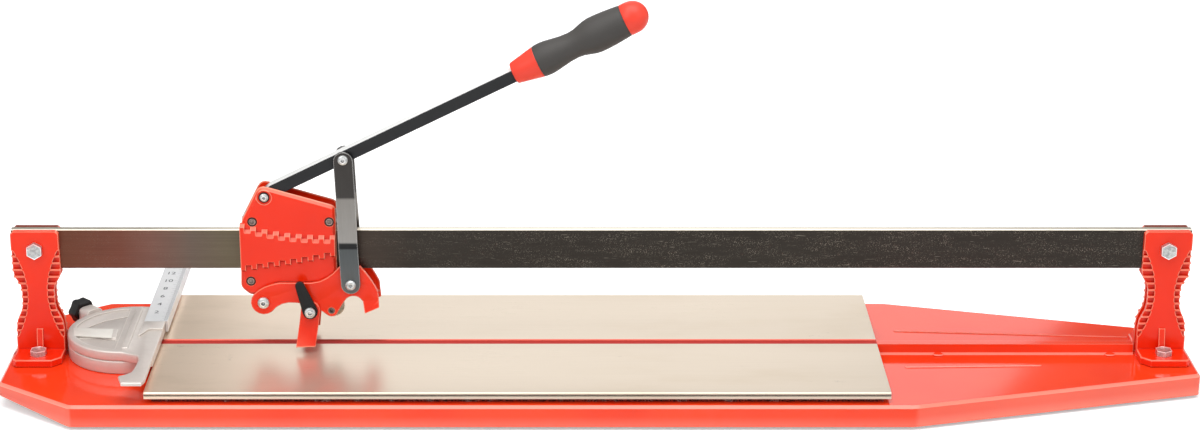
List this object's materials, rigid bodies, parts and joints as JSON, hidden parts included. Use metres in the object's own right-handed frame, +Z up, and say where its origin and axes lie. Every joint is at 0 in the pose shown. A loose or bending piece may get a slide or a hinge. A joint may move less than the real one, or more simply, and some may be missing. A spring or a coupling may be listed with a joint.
{
  "type": "tile cutter",
  "caption": "Manual tile cutter: red pan base with sprung deck plates, flat steel rail on cast posts, sliding lever carriage with scoring wheel and breaker feet, angle gauge with ruler.",
  "frame": {"origin": "on the floor under the middle of the bounding box", "axes": "+X along the rail, from the angle gauge's end to the narrow end; +Y across it, towards the ruler's free end; +Z up, away from the floor"},
  "size_m": [1.059, 0.386, 0.3488],
  "materials": {
    "red_paint": "gloss",
    "cast_red": "satin gloss over a cast skin",
    "rail_steel": "dark oiled, ground along its length",
    "deck_metal": "brushed along its length",
    "zinc_steel": "bright zinc",
    "link_steel": "satin",
    "dark_screw": "blackened",
    "tool_steel": "ground",
    "black_steel": "satin black",
    "cast_aluminium": "die-cast, satin",
    "ruler_steel": "satin",
    "black_plastic": "matte",
    "grip_red": "satin gloss",
    "grip_rubber": "matte",
    "foot_rubber": "matte",
    "foam": "open cell foam"
  },
  "bodies": {
    "base": {"base_pan": "red_paint", "rubber_foot_front_left": "foot_rubber", "rubber_foot_rear_left": "foot_rubber", "rubber_foot_front_right": "foot_rubber", "rubber_foot_rear_right": "foot_rubber", "deck_cushion_front_outer": "foam", "deck_cushion_front_inner": "foam", "deck_cushion_rear_outer": "foam", "deck_cushion_rear_inner": "foam", "rail_bar": "rail_steel", "left_post_front": "cast_red", "left_post_rear": "cast_red", "right_post_front": "cast_red", "right_post_rear": "cast_red", "left_clamp_bolt": "zinc_steel", "right_clamp_bolt": "zinc_steel", "left_foot_bolt_front": "zinc_steel", "left_foot_bolt_rear": "zinc_steel", "right_foot_bolt_front": "zinc_steel", "right_foot_bolt_rear": "zinc_steel", "gauge_base": "cast_aluminium", "guide_pivot_screw": "zinc_steel"},
    "deck_front": {"deck_plate_front": "deck_metal"},
    "deck_rear": {"deck_plate_rear": "deck_metal"},
    "guide": {"angle_guide": "cast_aluminium", "ruler": "ruler_steel"},
    "knob": {"lock_knob": "black_plastic"},
    "carriage": {"carriage_cover_front": "cast_red", "carriage_cover_rear": "cast_red", "bearing_axle_upper_left": "dark_screw", "bearing_axle_upper_right": "dark_screw", "bearing_axle_lower": "dark_screw", "lever_pivot_bolt": "zinc_steel", "arm_pivot_bolt": "zinc_steel", "carriage_spacer": "zinc_steel"},
    "bearing_upper_left": {"bearing_upper_left": "zinc_steel"},
    "bearing_upper_right": {"bearing_upper_right": "zinc_steel"},
    "bearing_lower": {"bearing_lower": "zinc_steel"},
    "lever": {"lever_bar": "black_steel", "grip_ferrule": "grip_red", "grip_sleeve": "grip_rubber", "grip_end_cap": "grip_red", "link_top_bolt": "zinc_steel"},
    "links": {"link_front": "link_steel", "link_rear": "link_steel"},
    "arm": {"arm_plate_front": "cast_red", "arm_plate_rear": "cast_red", "link_stud_front": "zinc_steel", "link_stud_rear": "zinc_steel", "wheel_axle": "dark_screw", "wheel_spacer_front": "zinc_steel", "wheel_spacer_rear": "zinc_steel"},
    "wheel": {"scoring_wheel": "tool_steel"},
    "breaker": {"breaker_foot_front": "cast_red", "breaker_foot_rear": "cast_red", "toggle_lever": "black_plastic", "feet_bolt": "zinc_steel", "feet_spacer": "zinc_steel"}
  },
  "joints": [
    {"name": "carriage_slide", "type": "slide", "parent": "base", "child": "carriage", "axis": [1, 0, 0], "range_m": [-0.1, 0.672]},
    {"name": "lever_hinge", "type": "hinge", "parent": "carriage", "child": "lever", "pos_m": [-0.297, -0.071, 0.1735], "axis": [0, -1, 0], "range_deg": [-8, 8]},
    {"name": "arm_hinge", "type": "hinge", "parent": "carriage", "child": "arm", "pos_m": [-0.3003, -0.071, 0.0761], "axis": [0, -1, 0], "range_deg": [-8, 8]},
    {"name": "link_hinge", "type": "hinge", "parent": "lever", "child": "links", "pos_m": [-0.22681, -0.071, 0.20819], "axis": [0, -1, 0], "range_deg": [-8, 8]},
    {"name": "wheel_spin", "type": "hinge", "parent": "arm", "child": "wheel", "pos_m": [-0.2401, -0.071, 0.0684], "axis": [0, 1, 0], "continuous": true},
    {"name": "feet_flip", "type": "hinge", "parent": "arm", "child": "breaker", "pos_m": [-0.2585, -0.071, 0.0697], "axis": [0, 1, 0], "range_deg": [0, 90]},
    {"name": "guide_turn", "type": "hinge", "parent": "base", "child": "guide", "pos_m": [-0.4235, -0.067, 0.039], "axis": [0, 0, -1], "range_deg": [0, 45]},
    {"name": "knob_turn", "type": "hinge", "parent": "base", "child": "knob", "pos_m": [-0.4235, -0.067, 0.0395], "axis": [-0.6909, 0.723, 0], "range_deg": [0, 180]},
    {"name": "deck_front_press", "type": "slide", "parent": "base", "child": "deck_front", "axis": [0, 0, 1], "range_m": [-0.0015, 0], "stiffness_N_per_m": 20000, "springref_m": 0.001, "deforming": ["deck_cushion_front_outer", "deck_cushion_front_inner"]},
    {"name": "deck_rear_press", "type": "slide", "parent": "base", "child": "deck_rear", "axis": [0, 0, 1], "range_m": [-0.0015, 0], "stiffness_N_per_m": 20000, "springref_m": 0.001, "deforming": ["deck_cushion_rear_outer", "deck_cushion_rear_inner"]},
    {"name": "bearing_upper_left_roll", "type": "hinge", "parent": "carriage", "child": "bearing_upper_left", "pos_m": [-0.3082, -0.071, 0.1508], "axis": [0, 1, 0], "range_deg": [-650, 4100]},
    {"name": "bearing_upper_right_roll", "type": "hinge", "parent": "carriage", "child": "bearing_upper_right", "pos_m": [-0.2402, -0.071, 0.1508], "axis": [0, 1, 0], "range_deg": [-650, 4100]},
    {"name": "bearing_lower_roll", "type": "hinge", "parent": "carriage", "child": "bearing_lower", "pos_m": [-0.3112, -0.071, 0.095], "axis": [0, 1, 0], "range_deg": [-4100, 650]}
  ],
  "couplings": [
    {"joint": "arm_hinge", "follows": "lever_hinge", "ratio": 0.906},
    {"joint": "link_hinge", "follows": "lever_hinge", "ratio": -0.838},
    {"joint": "bearing_upper_left_roll", "follows": "carriage_slide", "rad_per_m": 105.26},
    {"joint": "bearing_upper_right_roll", "follows": "carriage_slide", "rad_per_m": 105.26},
    {"joint": "bearing_lower_roll", "follows": "carriage_slide", "rad_per_m": -105.26}
  ]
}
